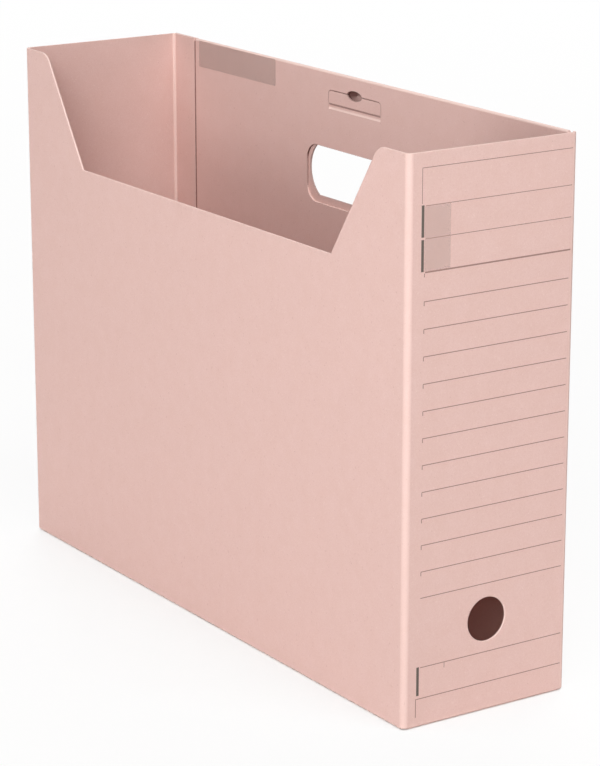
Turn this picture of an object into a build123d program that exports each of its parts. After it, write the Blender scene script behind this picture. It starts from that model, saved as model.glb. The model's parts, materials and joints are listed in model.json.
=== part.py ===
from build123d import *
import os

# File box of paperboard, open at the top. X runs across the narrow spine, Y from the spine (-Y)
# to the rear end (+Y), Z up. The origin is the middle of the underside, lengths are millimetres.

# Outer sizes, thickness of the board, and inner radius of its tightest creases
width = 105
depth = 390
height = 300
board = 1.2
crease_inside = 0.6

# Trapezoid cut-out in the near side: top edge left at each end, depth, flare and rounding
cutout_land = 26
cutout_drop = 62.4
cutout_flare_share = 0.66
cutout_round = 11

# Hand hole in the liner of the far side, and the slot behind it in the outer board, a little higher
# and with bowed ends
hand_hole_length = 95
hand_hole_height = 33.5
hand_hole_round = 9.5
hand_hole_drop = 60.6
hand_slot_length = 92
hand_slot_height = 30.5
hand_slot_bow = 17.5
hand_slot_rise = 2.6

# Liner folded down inside the far side, and the glued seam strip behind it
liner_drop = 141
liner_front_gap = 3
seam_flap_width = 22
seam_flap_gap = 2
seam_flap_lift = 32

# Pull tab cut from the liner, with its nail hole, the pocket pressed behind the hole into the outer
# board, and the groove pressed in along the crease
tab_width = 51
tab_height = 7.2
tab_drop = 17.8
tab_round = 2.5
tab_cut = 0.4
tab_groove_height = 3.4
tab_groove_depth = 0.7
nail_hole_width = 14.6
nail_hole_height = 5.6
nail_pocket_margin = 2
nail_pocket_depth = 0.8

# Finger hole in the spine
finger_hole = 24
finger_hole_rise = 50.4

# Side flaps of the bottom: a short run at floor level, a ramp, then a shelf over the end flaps
flap_run_in = 2
flap_ramp = 8
flap_layer_gap = 0.3
flap_cut = 0.3
flap_lock_step = 10
flap_end_gap = 1

# Corners that close as the box folds flat: the flaps are cut back and slanted there
closing_gap = 14
side_flap_slant_share = 0.8
end_flap_slant_share = 1.45

# End flaps of the bottom, and the glued corners beside them
end_flap_offset = 12
end_flap_tip = 3
glue_corner_gap = 2
glue_corner_margin = 6

# Notch under each upright crease, and how far cuts run past the faces that they cut
corner_lift = 0.8
overrun = 5

# Outer radius of the seam and bottom creases, and of the looser upright ones outside the seam strip
tight_bend = crease_inside + board
bend = tight_bend + board

half_width = width / 2
half_depth = depth / 2
half_span_x = half_width - bend
half_span_y = half_depth - bend
seam_y = half_depth - tight_bend
liner_face = half_width - 2 * board
liner_rear = seam_y - seam_flap_width - seam_flap_gap
liner_front = liner_front_gap - half_span_y
fold_z = height - board
hand_hole_z = height - hand_hole_drop
tab_crease = height - tab_drop
tab_top = tab_crease + tab_height
flap_hinge_x = tight_bend - half_width
flap_hinge_y = tight_bend - half_depth
flap_shelf = flap_run_in + flap_ramp
flap_shelf_z = board + flap_layer_gap
long_reach = flap_lock_step - flap_hinge_x - flap_cut
short_reach = -flap_hinge_x - flap_cut - flap_lock_step


def block(x0, x1, y0, y1, z0, z1):
    """Box between the given faces."""
    middle = Pos((x0 + x1) / 2, (y0 + y1) / 2, (z0 + z1) / 2)
    return middle * Box(x1 - x0, y1 - y0, z1 - z0)


def outline(points):
    """Flat face with straight edges through the given points."""
    return make_face(Polyline(*points, close=True))


def side_cut(face):
    """Prism of a face drawn in depth and height, running through both long sides."""
    onto_side = Plane(origin=(0, 0, 0), x_dir=(0, 1, 0), z_dir=(1, 0, 0))
    return extrude(onto_side * face, half_width + overrun, both=True)


def rod(radius, length, x, z):
    """Round rod along Y, centred on the middle of the box."""
    return Pos(x, 0, z) * Rot(90, 0, 0) * Cylinder(radius, length)


def quarter_ring(outer, length):
    """Quarter of a tube of board along Z in the +X +Y corner, starting at height 0."""
    tube = Cylinder(outer, length) - Cylinder(outer - board, length + overrun)
    corner = Pos(outer / 2, outer / 2, 0) * Box(outer, outer, length)
    return Pos(0, 0, length / 2) * (tube & corner)


def nail_hole(grow=0):
    """Oval hole that straddles the upper cut of the pull tab, enlarged all round."""
    return side_cut(Pos(0, tab_top) * Ellipse(nail_hole_width / 2 + grow, nail_hole_height / 2 + grow))


def tab_prism(grow):
    """Pull tab, enlarged all round but at its crease, with its two upper corners rounded."""
    rise = tab_height + grow
    sheet = Pos(0, tab_crease + rise / 2) * Rectangle(tab_width + 2 * grow, rise)
    corners = sheet.vertices().group_by(Axis.Y)[-1]
    return side_cut(fillet(corners, tab_round + grow))


def far_side_panel():
    """Outer board of the far side, higher over the seam strip where no fold covers it."""
    inner = half_width - board
    sheet = block(inner, half_width, -half_span_y, half_depth, tight_bend, fold_z)
    sheet += block(inner, half_width, liner_rear, half_depth, fold_z, height)
    half_straight = hand_slot_length / 2 - hand_slot_bow
    slot = Rectangle(2 * half_straight, hand_slot_height)
    for end in (-half_straight, half_straight):
        slot += Pos(end, 0) * Circle(hand_slot_bow) & Rectangle(hand_slot_length, hand_slot_height)
    sheet -= side_cut(Pos(0, hand_hole_z + hand_slot_rise) * slot)
    reach = block(inner, inner + nail_pocket_depth, -half_depth, half_depth, 0, height)
    return sheet - (nail_hole(nail_pocket_margin) & reach)


def far_side_liner():
    """Inner board of the far side with the tab opening and the pressed groove under it."""
    low = height - liner_drop
    sheet = block(liner_face, half_width - board, liner_front, liner_rear, low, fold_z)
    hole = RectangleRounded(hand_hole_length, hand_hole_height, hand_hole_round)
    sheet -= side_cut(Pos(0, hand_hole_z) * hole)
    sheet -= tab_prism(tab_cut)
    sheet -= nail_hole()
    half_groove = tab_groove_height / 2
    radius = (half_groove ** 2 + tab_groove_depth ** 2) / (2 * tab_groove_depth)
    return sheet - rod(radius, tab_width, liner_face + tab_groove_depth - radius, tab_crease - half_groove)


def top_fold():
    """Half-round fold that joins the outer board to the liner."""
    keep = block(liner_face, half_width, liner_front, liner_rear, fold_z, height)
    return rod(board, depth, half_width - board, fold_z) & keep


def pull_tab():
    """Tab that folds inward and down about its lower edge."""
    sheet = block(liner_face, half_width - board, -tab_width, tab_width, tab_crease, height)
    return (sheet & tab_prism(0)) - nail_hole()


def seam_glue_flap():
    """Strip of the rear end glued to the inside of the far side."""
    return block(liner_face, half_width - board, seam_y - seam_flap_width, seam_y, seam_flap_lift, height)


def near_side_panel():
    """Near side with the trapezoid cut-out, rounded where it meets the top edge."""
    sheet = block(-half_width, board - half_width, -half_span_y, half_span_y, tight_bend, height)
    top = half_depth - cutout_land
    base = top - cutout_drop * cutout_flare_share
    above = top + overrun * cutout_flare_share
    low = height - cutout_drop
    high = height + overrun
    sheet -= side_cut(outline([(-base, low), (base, low), (above, high), (-above, high)]))
    across = sheet.edges().filter_by(Axis.X)
    corners = across.filter_by(lambda edge: abs(abs(edge.center().Y) - top) < board)
    return fillet(corners, cutout_round)


def front_spine_panel():
    """Narrow front with the finger hole."""
    sheet = block(-half_span_x, half_span_x, -half_depth, board - half_depth, tight_bend, height)
    return sheet - rod(finger_hole / 2, depth + overrun, 0, finger_hole_rise)


def rear_end_panel():
    """Narrow rear end."""
    return block(-half_span_x, half_span_x, half_depth - board, half_depth, tight_bend, height)


def upright_crease(x, y, turn, outer):
    """Rounded upright corner about the given axis."""
    return Pos(x, y, corner_lift) * Rot(0, 0, turn) * quarter_ring(outer, height - corner_lift)


def bottom_crease(length, reach):
    """Rounded lower edge of a wall whose outer face is at -reach on X."""
    ring = Pos(0, 0, -length / 2) * quarter_ring(tight_bend, length)
    return Pos(tight_bend - reach, 0, tight_bend) * Rot(90, 0, 0) * Rot(0, 0, 180) * ring


def side_flap():
    """Bottom flap of the near side. It steps up over the end flaps and keys with its twin."""
    lower = [(0, 0), (flap_run_in, 0), (flap_shelf, flap_shelf_z), (long_reach, flap_shelf_z)]
    upper = [(q, z + board) for q, z in reversed(lower)]
    section = outline([(flap_hinge_x + q, z) for q, z in lower + upper])
    sheet = extrude(Plane.XZ * section, half_depth, both=True)
    front = flap_end_gap - half_span_y
    rear = half_span_y - closing_gap
    slanted = rear - side_flap_slant_share * long_reach
    plan = [(0, front), (short_reach, front), (short_reach, flap_cut), (long_reach, flap_cut)]
    plan += [(long_reach, slanted), (0, rear)]
    trim = outline([(flap_hinge_x + q, y) for q, y in plan])
    return sheet & extrude(trim, flap_shelf_z + board + overrun)


def end_flap():
    """Bottom flap of the spine, slanted at both ends to clear the side flaps as the box folds."""
    near = end_flap_offset - half_span_x
    far = half_span_x - closing_gap
    reach = (far - near - end_flap_tip) / (1 + end_flap_slant_share)
    tip = flap_hinge_y + reach
    slanted = far - end_flap_slant_share * reach
    plan = [(near, flap_hinge_y), (far, flap_hinge_y), (slanted, tip), (near + reach, tip)]
    return extrude(outline(plan), board)


def glue_corner():
    """Triangle of the spine's blank that is glued under the near side's bottom flap."""
    last = short_reach - glue_corner_margin
    plan = [(flap_shelf, flap_shelf), (last, last), (flap_shelf, last)]
    face = outline([(flap_hinge_x + q, flap_hinge_y + p + glue_corner_gap) for q, p in plan])
    return Pos(0, 0, flap_layer_gap) * extrude(face, board)


twin = Rot(0, 0, 180)
quarter_turn = Rot(0, 0, 90)
pieces = {
    "far_side_panel": far_side_panel(),
    "far_side_liner": far_side_liner(),
    "top_fold": top_fold(),
    "pull_tab": pull_tab(),
    "seam_glue_flap": seam_glue_flap(),
    "near_side_panel": near_side_panel(),
    "front_spine_panel": front_spine_panel(),
    "rear_end_panel": rear_end_panel(),
    "front_far_crease": upright_crease(half_span_x, -half_span_y, 270, bend),
    "front_near_crease": upright_crease(-half_span_x, -half_span_y, 180, bend),
    "rear_near_crease": upright_crease(-half_span_x, half_span_y, 90, bend),
    "seam_crease": upright_crease(half_span_x, seam_y, 0, tight_bend),
    "near_bottom_crease": bottom_crease(2 * half_span_y, half_width),
    "far_bottom_crease": twin * bottom_crease(2 * half_span_y, half_width),
    "front_bottom_crease": quarter_turn * bottom_crease(2 * half_span_x, half_depth),
    "rear_bottom_crease": twin * quarter_turn * bottom_crease(2 * half_span_x, half_depth),
    "near_bottom_flap": side_flap(),
    "far_bottom_flap": twin * side_flap(),
    "front_bottom_flap": end_flap(),
    "rear_bottom_flap": twin * end_flap(),
    "near_glue_corner": glue_corner(),
    "far_glue_corner": twin * glue_corner(),
}

os.makedirs("parts", exist_ok=True)
for name, shape in pieces.items():
    export_step(shape, f"parts/{name}.step")
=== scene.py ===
import json
import math

import bmesh
import bpy
from mathutils import Matrix, Vector


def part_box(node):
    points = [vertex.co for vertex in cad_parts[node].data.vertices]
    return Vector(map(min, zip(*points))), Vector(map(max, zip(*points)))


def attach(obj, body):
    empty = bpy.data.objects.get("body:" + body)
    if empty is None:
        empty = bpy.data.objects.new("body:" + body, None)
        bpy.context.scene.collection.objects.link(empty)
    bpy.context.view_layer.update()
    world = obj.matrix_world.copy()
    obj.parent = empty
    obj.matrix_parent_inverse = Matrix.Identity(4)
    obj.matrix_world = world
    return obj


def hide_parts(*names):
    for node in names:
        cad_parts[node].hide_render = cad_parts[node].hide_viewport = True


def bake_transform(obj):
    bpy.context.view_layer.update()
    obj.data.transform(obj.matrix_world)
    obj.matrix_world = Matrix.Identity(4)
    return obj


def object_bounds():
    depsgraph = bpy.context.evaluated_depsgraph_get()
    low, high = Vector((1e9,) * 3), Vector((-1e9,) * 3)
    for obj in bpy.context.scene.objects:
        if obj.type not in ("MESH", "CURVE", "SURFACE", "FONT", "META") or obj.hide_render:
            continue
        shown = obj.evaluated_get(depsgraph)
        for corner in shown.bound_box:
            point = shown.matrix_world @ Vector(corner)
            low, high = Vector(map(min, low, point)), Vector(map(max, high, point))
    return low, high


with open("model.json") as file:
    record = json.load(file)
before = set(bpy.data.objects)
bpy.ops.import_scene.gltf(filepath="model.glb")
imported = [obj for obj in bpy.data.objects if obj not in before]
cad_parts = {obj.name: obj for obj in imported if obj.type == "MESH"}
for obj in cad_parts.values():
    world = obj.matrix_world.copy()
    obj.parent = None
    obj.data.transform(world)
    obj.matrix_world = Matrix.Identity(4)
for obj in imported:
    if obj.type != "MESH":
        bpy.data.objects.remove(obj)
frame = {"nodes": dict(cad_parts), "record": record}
cad_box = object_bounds()

MM = 0.001
X, Y, Z = Vector((1, 0, 0)), Vector((0, 1, 0)), Vector((0, 0, 1))
NEAR, FAR, FRONT, REAR, DOWN = -X, X, -Y, Y, -Z


def corners(node):
    """Lowest and highest corner of a CAD node in millimetres."""
    return [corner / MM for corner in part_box(node)]


# Places that the frame gives, in millimetres

LINER_FACE, LINER_BACK = (corner.x for corner in corners("far_side_liner"))
BOARD = LINER_BACK - LINER_FACE
LINER_REAR = corners("far_side_liner")[1].y
STRIP_FRONT, STRIP_FOOT = corners("seam_glue_flap")[0].yz
FOLD_FOOT = corners("top_fold")[0].z
SPINE_FACE = -corners("front_spine_panel")[0].y
TAB = corners("pull_tab")
OPENINGS = {opening["name"]: opening["box_m"] for opening in frame["record"]["physics"]["openings"]}
HAND_HOLE = [Vector(corner) / MM for corner in OPENINGS["hand_hole"]]
MIDDLE = Vector([sum(ends) / 2 for ends in zip(*cad_box)])

# Finish of the board in millimetres: rounding of most cut edges, thickness of printed ink, how near two
# faces are that touch, and how near two corners are that are one

SOFT_EDGE = 0.22
FILM = 0.03
TOUCH = 0.01
WELD = 0.005

# Details of the far side in millimetres: half the width and half the height of the nail hole, the rim of
# its pocket, and how far round the tab and the hand's opening their cut faces reach

NAIL_HOLE = 7.3, 2.8
POCKET_RIM = 2
TAB_REACH, HAND_REACH = 5, 12

# Bead pressed up inside an upright crease, in millimetres: how far out its axis lies, and how far it
# stops short of each end

BEAD_LIFT, BEAD_SHORT = 0.1, 0.4

# Angles between two faces: below the first they are made one, above the second their edge is softened,
# above the third it is shaded sharp

FLAT, EDGE, SHARP = (math.radians(angle) for angle in (0.5, 35, 50))

# Share of a face's normal along a direction from which the face counts as facing that way

FACING = 0.97


# Materials

def tone(code):
    """Scene colour of an sRGB colour given as six hex digits."""
    parts = [int(code[i:i + 2], 16) / 255 for i in (0, 2, 4)]
    return [c / 12.92 if c <= 0.04045 else ((c + 0.055) / 1.055) ** 2.4 for c in parts] + [1]


def add(tree, kind, inputs, out=0, **settings):
    """One output of a new shader node. Each input is a value, or the output that it is linked to.

    Inputs 0 to 4 of a MapRange are the value, the range it comes from and the range it goes to. Inputs
    0, 6 and 7 of a Mix are the share and the two colours.
    """
    made = tree.nodes.new("ShaderNode" + kind)
    for key, value in settings.items():
        setattr(made, key, value)
    for key, value in inputs.items():
        if isinstance(value, bpy.types.NodeSocket):
            tree.links.new(value, made.inputs[key])
        else:
            made.inputs[key].default_value = value
    return made.outputs[out]


def blank(name):
    """A new material: its tree, the sockets of its shader, and the object's own coordinates."""
    made = bpy.data.materials.new(name)
    made.use_nodes = True
    tree = made.node_tree
    return made, tree, tree.nodes["Principled BSDF"].inputs, add(tree, "TexCoord", {}, "Object")


def board_colour(tree, place):
    """Colour of the dyed board: cloudy formation, short fibres, and a few pale and dark flecks."""
    # Size in millimetres, detail, range of the noise that shows, strength and colour of each layer.
    # Fibres and flecks are drawn coarser than real ones, so that they show.
    layers = ((9, 3, 0.3, 0.7, 1, "E3C2BB"), (0.55, 2, 0.35, 0.7, 0.35, "D6ACA3"),
              (0.9, 1, 0.68, 0.74, 0.35, "EFD5CD"), (1.3, 1, 0.71, 0.76, 0.3, "B98A82"))
    colour = tone("E1BFB7")
    for size, detail, low, high, strength, code in layers:
        pattern = add(tree, "TexNoise", {"Vector": place, "Scale": 1 / (size * MM), "Detail": detail})
        share = add(tree, "MapRange", {0: pattern, 1: low, 2: high, 4: strength})
        colour = add(tree, "Mix", {0: share, 6: colour, 7: tone(code)}, 2, data_type="RGBA")
    return colour


def paperboard():
    """Dyed paperboard: a dry matt face, pale cut fibres with painted highlight, painted shade in its
    slits.
    """
    made, tree, shader, place = blank("pink_paperboard")
    fibres = {"Vector": place, "Scale": 1 / (0.35 * MM), "Detail": 3, "Roughness": 0.7}
    fray = add(tree, "MapRange", {0: add(tree, "TexNoise", fibres), 1: 0.3, 2: 0.7, 3: 0.55})
    # Pale share: real paler fibres on cut faces with a painted highlight on top; it also paints
    # highlights on bends, beads and the upward faces of the tab's groove and the hand hole.
    cut = add(tree, "Attribute", {}, "Fac", attribute_name="cut")
    pale = add(tree, "Math", {0: cut, 1: fray}, operation="MULTIPLY")
    colour = board_colour(tree, place)
    colour = add(tree, "Mix", {0: pale, 6: colour, 7: tone("F8DDD4")}, 2, data_type="RGBA")
    # Painted shade: dark brown laid into slits, the nail pocket, the hand's opening and under the
    # groove's lip.
    painted_shade = add(tree, "Attribute", {}, "Fac", attribute_name="painted_shade")
    colour = add(tree, "Mix", {0: painted_shade, 6: colour, 7: tone("664540")}, 2, data_type="RGBA")
    tree.links.new(colour, shader["Base Color"])
    grain = {"Vector": place, "Scale": 1 / (0.4 * MM), "Detail": 3, "Roughness": 0.6}
    tooth = add(tree, "TexNoise", grain)
    matt = add(tree, "MapRange", {0: tooth, 1: 0.3, 2: 0.7, 3: 0.7, 4: 0.86})
    tree.links.new(matt, shader["Roughness"])
    relief = add(tree, "Bump", {"Height": tooth, "Strength": 0.22, "Distance": 0.06 * MM})
    tree.links.new(relief, shader["Normal"])
    shader["Specular IOR Level"].default_value = 0.3
    return made


def ink(name, full, thin):
    """Printing ink: slightly uneven where the fibres take less of it and the board shows through."""
    made, tree, shader, place = blank(name)
    lay = add(tree, "TexNoise", {"Vector": place, "Scale": 1 / (0.3 * MM), "Roughness": 0.7})
    lay = add(tree, "MapRange", {0: lay, 1: 0.35, 2: 0.75, 4: 0.45})
    colour = add(tree, "Mix", {0: lay, 6: tone(full), 7: tone(thin)}, 2, data_type="RGBA")
    tree.links.new(colour, shader["Base Color"])
    shader["Roughness"].default_value = 0.6
    shader["Specular IOR Level"].default_value = 0.3
    return made


def halftone(name, turn, share):
    """Tint of small ink dots in a square screen at 45 degrees, with the board showing between them.

    The turn lays the printed face in the plane of the screen. The share is what the dots cover of it.
    """
    made, tree, shader, place = blank(name)
    flat = add(tree, "Mapping", {"Vector": place, "Rotation": turn})
    screen = add(tree, "Mapping", {"Vector": flat, "Rotation": (0, 0, math.radians(45))})
    # The dots of a real screen are half as far apart. These are drawn coarser, so that they show.
    grid = {"Vector": screen, "Scale": 1 / (0.3 * MM), "Randomness": 0}
    dots = add(tree, "TexVoronoi", grid, "Distance", voronoi_dimensions="2D")
    radius, blur = math.sqrt(share / math.pi), 0.05
    cover = add(tree, "MapRange", {0: dots, 1: radius - blur, 2: radius + blur, 3: 1, 4: 0})
    colour = board_colour(tree, place)
    colour = add(tree, "Mix", {0: cover, 6: colour, 7: tone("5C534D")}, 2, data_type="RGBA")
    tree.links.new(colour, shader["Base Color"])
    shader["Roughness"].default_value = 0.75
    shader["Specular IOR Level"].default_value = 0.3
    return made


def gap_shade_paint():
    """Painted shadow of the seam's dark gap: a brown darker than the board, with a faint shine in
    patches.
    """
    made, tree, shader, place = blank("painted_gap_shadow")
    patch = add(tree, "TexNoise", {"Vector": place, "Scale": 1 / (2.5 * MM)})
    patch = add(tree, "MapRange", {0: patch, 1: 0.3, 2: 0.7})
    colour = add(tree, "Mix", {0: patch, 6: tone("80584F"), 7: tone("9A7068")}, 2, data_type="RGBA")
    tree.links.new(colour, shader["Base Color"])
    tree.links.new(add(tree, "MapRange", {0: patch, 3: 0.4, 4: 0.55}), shader["Roughness"])
    return made


BOARD_FACE = paperboard()
DARK_INK = ink("grey_printing_ink", "5C534D", "8A7A72")
THIN_INK = ink("thin_printing_ink", "9A7970", "B8958C")
SPINE_TINT = halftone("spine_halftone", (math.radians(-90), 0, 0), 0.21)
LINER_TINT = halftone("liner_halftone", (0, math.radians(90), 0), 0.32)


# Pieces

def piece(name, bm, material, nodes=()):
    """A new object of the finished mesh, shaded smooth up to its real edges."""
    bmesh.ops.recalc_face_normals(bm, faces=bm.faces)
    for face in bm.faces:
        face.smooth = True
    mesh = bpy.data.meshes.new(name)
    bm.to_mesh(mesh)
    bm.free()
    mesh.materials.append(material)
    mesh.set_sharp_from_angle(angle=SHARP)
    made = bpy.data.objects.new(name, mesh)
    bpy.context.scene.collection.objects.link(made)
    shading = made.modifiers.new("even_shading", "WEIGHTED_NORMAL")
    shading.keep_sharp = True
    if nodes:
        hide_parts(*nodes)
    return made


def ends(node, *directions):
    """Planes that close a node's box: each is a direction and the distance along it."""
    return [(way, max(corner.dot(way) for corner in corners(node))) for way in directions]


def lies_on(edge, plane):
    """Whether an edge lies in a plane given by a direction and the distance along it."""
    way, distance = plane
    return all(abs(v.co.dot(way) / MM - distance) < TOUCH for v in edge.verts)


def soften(bm, rims, size):
    """Rounds the given edges."""
    bmesh.ops.bevel(bm, geom=rims, offset=size * MM, segments=2, profile=0.5, affect="EDGES",
                    clamp_overlap=True, material=-1)


def mark(bm, pale_and_dark_shares):
    """Writes on every face its pale share, cut fibres and painted highlight, and its painted shade, each
    0 to 1.
    """
    bm.normal_update()
    cut, painted_shade = [bm.faces.layers.float.new(name) for name in ("cut", "painted_shade")]
    for face in bm.faces:
        face[cut], face[painted_shade] = pale_and_dark_shares(face)


def within(place, box, margin):
    """Whether a place lies in a box that is enlarged all round."""
    return all(low - margin < p < high + margin for p, low, high in zip(place, *box))


def detail_of(face):
    """Which cut or pressed detail of the far side a face belongs to, or none."""
    place = face.calc_center_median() / MM
    by_tab = within(place, TAB, TAB_REACH)
    if by_tab and place.x > LINER_BACK + TOUCH:
        return "nail_pocket"
    if abs(face.normal.x) > FACING:
        return None
    if by_tab:
        return "tab_slit" if place.z > TAB[0].z else "tab_groove"
    if within(place, HAND_HOLE, HAND_REACH):
        return "hand_slot" if place.x > LINER_BACK else "hand_hole"
    return None


def pocket_shade(face):
    """Painted shade in the nail pocket: darkest in its upper rear corner, where least light falls in."""
    place = face.calc_center_median() / MM
    across, up = place.y / NAIL_HOLE[0], (place.z - TAB[1].z) / NAIL_HOLE[1]
    return min(1, max(0, 0.8 + 0.4 * across + 0.3 * up))


def board_pale_and_painted_shade(face, across, pale):
    """Pale share and painted shade of a face: pale cut edges, painted shade in slits and under a lip."""
    up = face.normal.z
    under_lip = up < 0.05 and abs(face.normal.y) < 0.5
    # Painted shade in the pocket, the slits and the slot; in the groove and the hand hole, painted
    # highlight on faces that look up and painted shade on faces that look down.
    details = {
        "nail_pocket": (0, pocket_shade(face)),
        "tab_slit": (0, 0.25),
        "tab_groove": (min(1, 2 * max(0, up)), 0.5 if under_lip else 0),
        "hand_hole": (max(0, up), min(1, max(0, 0.5 - 1.4 * up))),
        "hand_slot": (0, 0.45),
    }
    return details.get(detail_of(face), (pale * (1 - face.normal.dot(across) ** 2), 0))


def sheet(name, node, body, across, joined=(), soft=SOFT_EDGE, pale=1, printed=False):
    """A board cut to the shape of its CAD node, with soft edges but where it runs on into a crease."""
    bm = bmesh.new()
    bm.from_mesh(frame["nodes"][node].data)
    bmesh.ops.remove_doubles(bm, verts=bm.verts, dist=WELD * MM)
    bmesh.ops.dissolve_limit(bm, angle_limit=FLAT, verts=bm.verts, edges=bm.edges)
    rims = [e for e in bm.edges if e.is_manifold and e.calc_face_angle() > EDGE]
    soften(bm, [e for e in rims if not any(lies_on(e, plane) for plane in joined)], soft)
    bm.normal_update()
    # The bottom of the nail pocket is divided, so that its painted shade can change across it.
    pocket = [f for f in bm.faces if detail_of(f) == "nail_pocket" and abs(f.normal.x) > FACING]
    bmesh.ops.inset_individual(bm, faces=pocket, thickness=POCKET_RIM * MM)
    bmesh.ops.poke(bm, faces=pocket)
    mark(bm, lambda face: board_pale_and_painted_shade(face, across, pale))
    if printed:
        # A printed face lies lower by the films of ink, which then end where the solid does.
        front = [v for v in bm.verts if abs(v.co.dot(across) / MM - SPINE_FACE) < TOUCH]
        bmesh.ops.translate(bm, verts=front, vec=-across * FILM * MM)
    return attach(piece(name, bm, BOARD_FACE, [node]), body)


def bar(bm, centre, along, length, radius):
    """A round bar: the bead that a crease presses up inside the fold, or the dark line of painted shadow
    in the seam.
    """
    turn = Z.rotation_difference(along).to_matrix().to_4x4()
    bmesh.ops.create_cone(bm, cap_ends=True, segments=20, radius1=radius * MM, radius2=radius * MM,
                          depth=length * MM, matrix=Matrix.Translation(centre * MM) @ turn)


def crease(name, node, bodies, first, second, bead=0, plies=(0, 1), spans=(), stands_in=True):
    """Bent board about the line of a CAD crease, from its first outward direction to its second.

    The plies are the share of the board's thickness that it takes, from the inside out. It takes the
    given spans of the crease or all of it. Given one body it rides on it; given two, it stays in place.
    """
    low, high = corners(node)
    along = Vector([abs(part) for part in first.cross(second)])
    outside = abs((high - low).dot(first))
    inner, outer = (outside - BOARD + BOARD * share for share in plies)
    centre = (low + high - (first + second) * outside) / 2
    turn = Matrix((along, first, along.cross(first))).transposed().to_4x4()
    whole = low.dot(along), high.dot(along)
    bm = bmesh.new()
    for start, stop in spans or [whole]:
        middle = centre + along * ((start + stop - sum(whole)) / 2) + first * (outer + inner) / 2
        size = Matrix.Diagonal(((stop - start) * MM, (outer - inner) * MM, 1, 1))
        strip = bmesh.ops.create_grid(bm, x_segments=1, y_segments=1, size=0.5,
                                      matrix=Matrix.Translation(middle * MM) @ turn @ size)
        face = strip["verts"][0].link_faces[0]
        bmesh.ops.spin(bm, geom=face.verts[:] + face.edges[:] + [face], cent=centre * MM,
                       axis=first.cross(second), angle=math.radians(90), steps=14)
    bmesh.ops.recalc_face_normals(bm, faces=bm.faces)
    # The cut ends are softened, but not where the bend runs on into its two panels.
    starts = [(way, way.dot(centre)) for way in (first, second)]
    rims = [e for e in bm.edges if any(lies_on(e, plane) for plane in ends(node, along, -along))]
    rims = [e for e in rims if e.is_manifold and not any(lies_on(e, start) for start in starts)]
    soften(bm, [e for e in rims if e.calc_face_angle() > EDGE], SOFT_EDGE)
    corner = (first + second).normalized()
    if bead:
        length = (high - low).dot(along) - 2 * BEAD_SHORT
        bar(bm, centre + corner * (inner + BEAD_LIFT), along, length, bead)

    def pale_and_dark_shares(face):
        """Cut ends are pale, and the outside of the bend and its bead get a painted highlight."""
        outward = face.normal.dot(corner)
        # Painted highlight: a pale band on the outside of the bend, paler on the bead inside it.
        painted_highlight = 0.3 if outward > 0.6 else 0.8 if bead and outward < -0.3 else 0
        return max(face.normal.dot(along) ** 2, painted_highlight), 0

    mark(bm, pale_and_dark_shares)
    made = piece(name, bm, BOARD_FACE, [node] if stands_in else [])
    if len(bodies) == 1:
        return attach(made, *bodies)
    start, end = ((centre + way * outside) * MM for way in (first, second))
    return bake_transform(made)


sheet("near_side_sheet", "near_side_panel", "near_side", X,
      ends("near_side_panel", FRONT, REAR, DOWN), soft=0.46)
sheet("spine_sheet", "front_spine_panel", "front_spine", FRONT,
      ends("front_spine_panel", NEAR, FAR, DOWN), soft=0.38, printed=True)
sheet("rear_end_sheet", "rear_end_panel", "rear_end", Y,
      ends("rear_end_panel", NEAR, FAR, DOWN), pale=0.25)
sheet("far_side_sheet", "far_side_panel", "far_side", X,
      ends("far_side_panel", FRONT, DOWN) + ends("top_fold", DOWN), pale=0.5)
sheet("far_liner_sheet", "far_side_liner", "far_side", X, ends("far_side_liner", Z), soft=0.32)
sheet("seam_glue_strip", "seam_glue_flap", "far_side", X, ends("seam_glue_flap", REAR), pale=0.25)
sheet("pull_tab_sheet", "pull_tab", "pull_tab", X)
sheet("rolled_top_edge", "top_fold", "far_side", (X + Z).normalized(), ends("top_fold", DOWN))

crease("front_far_fold", "front_far_crease", ["far_side", "front_spine"], FAR, FRONT, bead=0.8)
crease("front_near_fold", "front_near_crease", ["front_spine", "near_side"], FRONT, NEAR, bead=0.8)
crease("seam_fold", "seam_crease", ["far_side", "rear_end"], FAR, REAR, bead=1.3)
crease("rear_near_fold_inside", "rear_near_crease", ["rear_end"], REAR, NEAR, bead=0.8, plies=(0, 0.5))
crease("rear_near_fold_outside", "rear_near_crease", ["near_side"], NEAR, REAR, plies=(0.5, 1),
       stands_in=False)

walls = (("near", NEAR, "near_side"), ("far", FAR, "far_side"),
         ("front", FRONT, "front_spine"), ("rear", REAR, "rear_end"))
for side, out, wall in walls:
    flap, fold = side + "_bottom_flap", side + "_bottom_crease"
    sheet(side + "_flap_sheet", flap, side + "_flap", Z, ends(flap, out))
    # The board bends where the flap hangs on it. Past the flap's ends the edge stays with the wall.
    along = X if out.x == 0 else Y
    (start, stop), (first, last) = [[c.dot(along) for c in corners(node)] for node in (fold, flap)]
    crease(side + "_bottom_fold", fold, [wall, side + "_flap"], out, DOWN, spans=[(first, last)])
    crease(side + "_bottom_edge", fold, [wall], out, DOWN, spans=[(start, first), (last, stop)],
           stands_in=False)
for side in ("near", "far"):
    sheet(side + "_glued_corner", side + "_glue_corner", side + "_flap", Z)


# Dark line of painted shadow in the seam's gap, in millimetres: how far it stops short at its foot and
# top, half its thickness and half its width, how far it lies behind the middle of the gap and to the rear
# of it, and the size and the two lengths of its waver

SHADOW_FOOT, SHADOW_TOP = 2, 0.4
SHADOW_THICK, SHADOW_WIDE = 0.5, 0.8
SHADOW_BACK, SHADOW_REAR = 0.05, 0.1
SHADOW_WAVER = 0.12
SHADOW_WAVES = 7.3, 2.9


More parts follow.
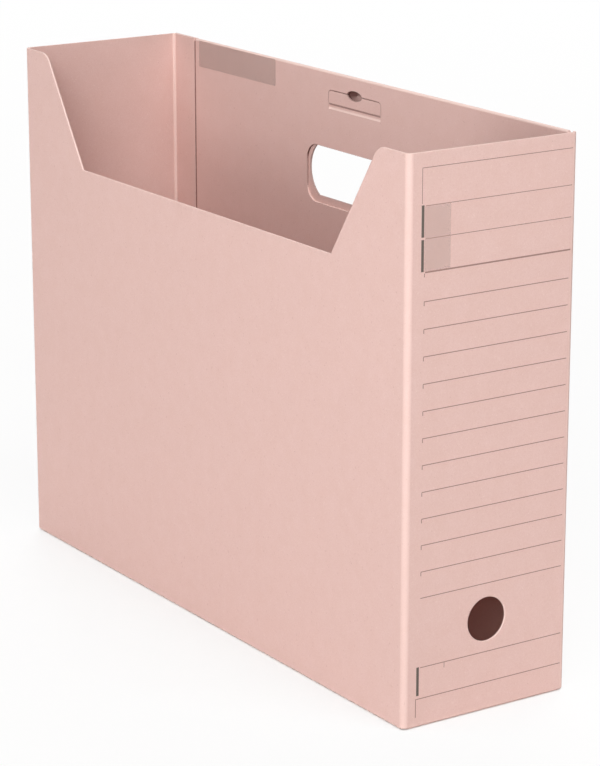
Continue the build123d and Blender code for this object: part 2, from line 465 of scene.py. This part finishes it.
def gap_shadow_line():
    """A dark bar of painted shadow for the seam's gap: it wavers in the gap between the strip and the
    liner.
    """
    foot, top = STRIP_FOOT + SHADOW_FOOT, FOLD_FOOT - SHADOW_TOP
    middle = Vector(((LINER_FACE + LINER_BACK) / 2 + SHADOW_BACK, 0, (foot + top) / 2))
    bm = bmesh.new()
    bar(bm, middle, Z, top - foot, SHADOW_THICK)
    bmesh.ops.scale(bm, vec=(1, SHADOW_WIDE / SHADOW_THICK, 1), verts=bm.verts)
    uprights = [e for e in bm.edges if abs(e.verts[0].co.z - e.verts[1].co.z) > MM]
    bmesh.ops.subdivide_edges(bm, edges=uprights, cuts=60)
    gap = (LINER_REAR + STRIP_FRONT) / 2 + SHADOW_REAR
    for v in bm.verts:
        slow, quick = (v.co.z / MM / length for length in SHADOW_WAVES)
        v.co.y += (gap + SHADOW_WAVER * math.sin(slow) * math.sin(quick + 1)) * MM
    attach(piece("painted_gap_shadow_line", bm, gap_shade_paint()), "far_side")


gap_shadow_line()


# Print

def films(name, body, rects, right, out, lift, material, corner=0):
    """Flat films of ink on a face: each is given by its two ends along the face and in height."""
    bm = bmesh.new()
    turn = Matrix((right, Z, out)).transposed().to_4x4()
    for a, b, low, high in rects:
        place = Matrix.Translation((right * (a + b) / 2 + Z * (low + high) / 2 + out * lift) * MM)
        size = Matrix.Diagonal(((b - a) * MM, (high - low) * MM, 1, 1))
        bmesh.ops.create_grid(bm, x_segments=1, y_segments=1, size=0.5, matrix=place @ turn @ size)
    if corner:
        bmesh.ops.bevel(bm, geom=bm.verts, offset=corner * MM, segments=4, profile=0.5,
                        affect="VERTICES", clamp_overlap=True, material=-1)
    bmesh.ops.solidify(bm, geom=bm.faces[:], thickness=FILM * MM)
    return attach(piece(name, bm, material), body)


def rule(left, right, height, weight):
    """A printed line across the spine."""
    return left, right, height - weight / 2, height + weight / 2


def post(place, low, high, weight):
    """A printed line up the spine."""
    return place - weight / 2, place + weight / 2, low, high


# Form on the spine, in millimetres from its middle and from the floor: heights and ends of the lines of
# its head, its two fields, its ruled rows, its base and its foot

HEAD_TOP, FIELD_TOP, FIELD_MIDDLE, FIELD_FOOT = 292.2, 273.2, 256.7, 239.8
ROW_TOP, ROW_STEP, ROW_COUNT = 225, 14.08, 12
BASE_TOP, FOOT_TOP = 32.5, 15.6
HEAD_LEFT, FIELD_LEFT, ROW_LEFT, FOOT_LEFT = -44.1, -41.9, -42.3, -44.8
RULE_RIGHT, ROW_RIGHT = 49.2, 48.3

# Short uprights that hang from the lines: their places, their lengths, the height that the first of the
# rows hangs from, and the gap under each line

HEAD_POST, ROW_POST, BASE_POST, FOOT_POST = -44, -42.2, -26.8, -44.6
HEAD_TICK, ROW_TICK, BASE_TICK, FOOT_TICK = 17.8, 2.2, 3.1, 10
FIRST_TICK = 239.6
GAP = 0.25

# Thick bars and tints beside the fields: where they lie across, and the foot and top of each

BAR_PLACE, TINT_LEFT, TINT_RIGHT = -43.5, -42.4, -26.5
BARS = (257.5, 273.6), (240.2, 256.3), (17.4, 33)
TINTS = (256.95, 272.95), (240.2, 256.45)

# Weights of the lines

FAINT, THIN, BOLD, THICK = 0.36, 0.46, 0.8, 1.6

# Tint on the liner: its two ends towards the front, its foot and top, the rounding of its corners, and
# how far it stands out of the face

LINER_PATCH = -165.2, -80.4, 283.6, 299.2
PATCH_ROUND, PATCH_LIFT = 1.2, 0.02

rows = [ROW_TOP - ROW_STEP * i for i in range(ROW_COUNT)]
long_rules = ((HEAD_LEFT, HEAD_TOP, FAINT), (FIELD_LEFT, FIELD_TOP, FAINT),
              (FIELD_LEFT, FIELD_MIDDLE, FAINT), (FIELD_LEFT, FIELD_FOOT, BOLD),
              (FIELD_LEFT, BASE_TOP, THIN), (FOOT_LEFT, FOOT_TOP, THIN))
ticks = [(HEAD_POST, HEAD_TOP, HEAD_TICK, FAINT), (BASE_POST, BASE_TOP, BASE_TICK, FAINT),
         (FOOT_POST, FOOT_TOP, FOOT_TICK, THIN)]
ticks += [(ROW_POST, top, ROW_TICK, THIN) for top in [FIRST_TICK] + rows[:-1]]
rules = [rule(left, RULE_RIGHT, height, weight) for left, height, weight in long_rules]
rules += [rule(ROW_LEFT, ROW_RIGHT, row, THIN) for row in rows]
rules += [post(place, top - length, top - GAP, weight) for place, top, length, weight in ticks]
bars = [post(BAR_PLACE, foot, top, THICK) for foot, top in BARS]
tints = [(TINT_LEFT, TINT_RIGHT, foot, top) for foot, top in TINTS]
films("spine_rules", "front_spine", rules, X, FRONT, SPINE_FACE, THIN_INK)
films("spine_bars", "front_spine", bars, X, FRONT, SPINE_FACE, DARK_INK)
films("spine_tints", "front_spine", tints, X, FRONT, SPINE_FACE, SPINE_TINT)
films("liner_tint", "far_side", [LINER_PATCH], FRONT, NEAR, PATCH_LIFT - LINER_FACE, LINER_TINT,
      corner=PATCH_ROUND)


# Stage

# Half the width of the floor in metres, and how far under the box it lies in millimetres

FLOOR_REACH = 6
FLOOR_DROP = 0.2

# Soft boxes: name, azimuth and height in degrees, distance and width in metres, power in watts

LAMPS = (("key_soft_box", 46, 32, 4.0, 2.8, 99), ("spine_soft_box", 0, 60, 4.0, 2.2, 62),
         ("low_soft_box", 70, 4, 2.0, 0.9, 10), ("back_soft_box", 222, 38, 4.0, 2.8, 74))


def seen(tree):
    """1 for rays that show the background: from the camera, and by gloss or through glass."""
    kinds = "Is Camera Ray", "Is Glossy Ray", "Is Transmission Ray"
    camera, gloss, glass = [add(tree, "LightPath", {}, kind) for kind in kinds]
    pair = add(tree, "Math", {0: camera, 1: gloss}, operation="MAXIMUM")
    return add(tree, "Math", {0: pair, 1: glass}, operation="MAXIMUM")


def studio_paper():
    """White studio paper: it shows white round the box, and keeps the shadow beside and under it."""
    made, tree, shader, place = blank("studio_paper")
    shade = add(tree, "TexNoise", {"Vector": place, "Scale": 1 / (40 * MM)})
    shade = add(tree, "MapRange", {0: shade, 1: 0.3, 2: 0.7})
    colour = add(tree, "Mix", {0: shade, 6: tone("F4F2F0"), 7: tone("F7F5F3")}, 2, data_type="RGBA")
    tree.links.new(colour, shader["Base Color"])
    shader["Roughness"].default_value = 0.9
    glow = add(tree, "Emission", {"Color": (1, 1, 1, 1), "Strength": 1})
    # It shows the more of its white the more open to the air it is, and all of it from 2.5 metres away.
    open_air = add(tree, "AmbientOcclusion", {"Distance": 0.3}, "AO", samples=8)
    far = add(tree, "VectorMath", {0: place}, "Value", operation="LENGTH")
    most = add(tree, "MapRange", {0: far, 1: 0.6, 2: 2.5, 3: 0.9, 4: 1})
    shown = add(tree, "MapRange", {0: open_air, 1: 0.15, 2: 0.6, 4: most})
    share = add(tree, "Math", {0: seen(tree), 1: shown}, operation="MULTIPLY")
    paper = tree.nodes["Principled BSDF"].outputs[0]
    both = add(tree, "MixShader", {0: share, 1: paper, 2: glow})
    tree.links.new(both, tree.nodes["Material Output"].inputs["Surface"])
    return made


def studio_floor():
    """A wide floor just under the box."""
    bm = bmesh.new()
    bmesh.ops.create_grid(bm, x_segments=8, y_segments=8, size=FLOOR_REACH,
                          matrix=Matrix.Translation(DOWN * FLOOR_DROP * MM))
    mesh = bpy.data.meshes.new("studio_floor")
    bm.to_mesh(mesh)
    bm.free()
    mesh.materials.append(studio_paper())
    made = bpy.data.objects.new("studio_floor", mesh)
    bpy.context.scene.collection.objects.link(made)


def studio_air():
    """Faint light from all round, which shows white to the camera."""
    world = bpy.data.worlds.new("studio")
    world.use_nodes = True
    bpy.context.scene.world = world
    tree = world.node_tree
    air = add(tree, "Background", {"Color": (1, 0.985, 0.975, 1), "Strength": 0.02})
    white = add(tree, "Background", {"Color": (1, 1, 1, 1), "Strength": 1})
    sky = add(tree, "MixShader", {0: seen(tree), 1: air, 2: white})
    tree.links.new(sky, tree.nodes["World Output"].inputs["Surface"])


def lamp(name, azimuth, height, distance, size, power):
    """A soft box that looks at the middle of the box. Azimuth turns from the spine to the near side."""
    light = bpy.data.lights.new(name, "AREA")
    light.shape, light.size, light.energy = "DISK", size, power
    a, h = math.radians(azimuth), math.radians(height)
    away = Vector((-math.sin(a) * math.cos(h), -math.cos(a) * math.cos(h), math.sin(h)))
    made = bpy.data.objects.new(name, light)
    made.location = MIDDLE + away * distance
    made.rotation_euler = away.to_track_quat("Z", "Y").to_euler()
    bpy.context.scene.collection.objects.link(made)


def photo_camera():
    """Camera at the photograph's viewing angle, fitted to the corners of the box."""
    lens = bpy.data.cameras.new("photo_camera")
    lens.sensor_width = 36
    lens.lens = 134.2
    made = bpy.data.objects.new("photo_camera", lens)
    made.location = (-0.8462, -1.2973, 0.5677)
    down, turn = math.radians(15.74), math.radians(33.54)
    made.rotation_euler = (math.radians(90) - down, 0, -turn)
    bpy.context.scene.collection.objects.link(made)
    bpy.context.scene.camera = made


studio_floor()
studio_air()
for settings in LAMPS:
    lamp(*settings)
photo_camera()
bpy.context.scene.view_settings.view_transform = "Standard"
